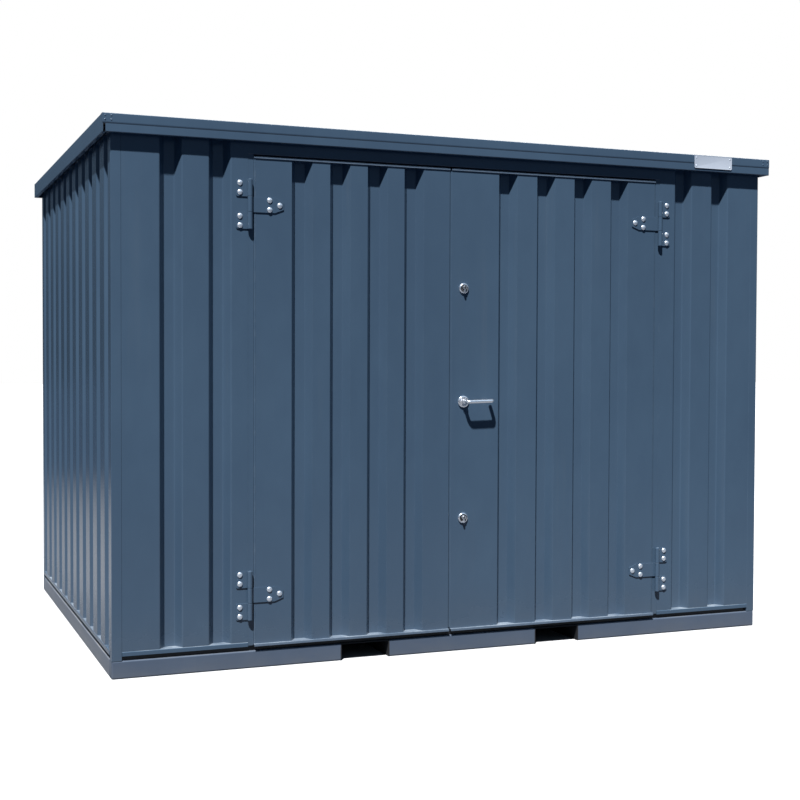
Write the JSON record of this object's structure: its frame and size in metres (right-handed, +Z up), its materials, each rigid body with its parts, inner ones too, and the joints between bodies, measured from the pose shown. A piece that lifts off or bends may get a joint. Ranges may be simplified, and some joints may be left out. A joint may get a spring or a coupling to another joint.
{
  "type": "steel storage container",
  "caption": "Flat-roofed steel storage container with trapezoid-profile walls, a double door in the front, a lever handle and fork pockets in its base.",
  "frame": {"origin": "middle of the wall footprint, on the ground", "axes": "+X along the front towards the right leaf's hinges, -Y out of the door side, +Z up"},
  "size_m": [3.05, 2.263, 2.17],
  "materials": {
    "wall_paint": "semi-gloss slate-blue paint on folded steel sheet, with light dust and edge wear",
    "base_paint": "slate-blue paint on rolled steel, greyer and dustier near the ground",
    "zinc": "bright zinc plating",
    "stainless": "polished stainless steel",
    "floor_ply": "sealed plywood with a dark edge",
    "plate_white": "plain white enamel plate"
  },
  "bodies": {
    "container": {"base_rail_front": "base_paint", "base_rail_rear": "base_paint", "base_rail_left": "base_paint", "base_rail_right": "base_paint", "fork_pockets": "base_paint", "floor_bearers": "base_paint", "floor_deck": "floor_ply", "door_threshold": "zinc", "sill_tracks": "wall_paint", "corner_post_front_left": "wall_paint", "corner_post_front_right": "wall_paint", "corner_post_rear_left": "wall_paint", "corner_post_rear_right": "wall_paint", "front_wall_left": "wall_paint", "front_wall_right": "wall_paint", "left_wall": "wall_paint", "right_wall": "wall_paint", "rear_wall": "wall_paint", "door_jamb_left": "wall_paint", "door_jamb_right": "wall_paint", "door_header": "wall_paint", "door_stops": "wall_paint", "top_rails": "wall_paint", "roof_beams": "wall_paint", "roof_sheet": "wall_paint", "roof_fascia_front": "wall_paint", "roof_fascia_rear": "wall_paint", "roof_fascia_left": "wall_paint", "roof_fascia_right": "wall_paint", "blank_plate": "plate_white", "hinge_plates_left": "wall_paint", "hinge_plates_right": "wall_paint"},
    "left_door": {"left_leaf_panel": "wall_paint", "left_leaf_frame": "wall_paint", "left_leaf_caps": "wall_paint", "left_hinge_straps": "wall_paint"},
    "right_door": {"right_leaf_panel": "wall_paint", "right_leaf_frame": "wall_paint", "right_leaf_caps": "wall_paint", "right_hinge_straps": "wall_paint", "handle_rose": "stainless", "door_locks": "zinc"},
    "lever": {"lever_handle": "stainless"}
  },
  "joints": [
    {"name": "left_leaf_hinge", "type": "hinge", "parent": "container", "child": "left_door", "pos_m": [-0.944, -1.097, 1.05], "axis": [0, 0, -1], "range_deg": [0, 170]},
    {"name": "right_leaf_hinge", "type": "hinge", "parent": "container", "child": "right_door", "pos_m": [0.954, -1.097, 1.05], "axis": [0, 0, 1], "range_deg": [0, 170]},
    {"name": "lever_turn", "type": "hinge", "parent": "right_door", "child": "lever", "pos_m": [-0.008, -1.1, 1.062], "axis": [0, 1, 0], "range_deg": [0, 45], "stiffness_Nm_per_rad": 1, "springref_deg": -22.92}
  ]
}
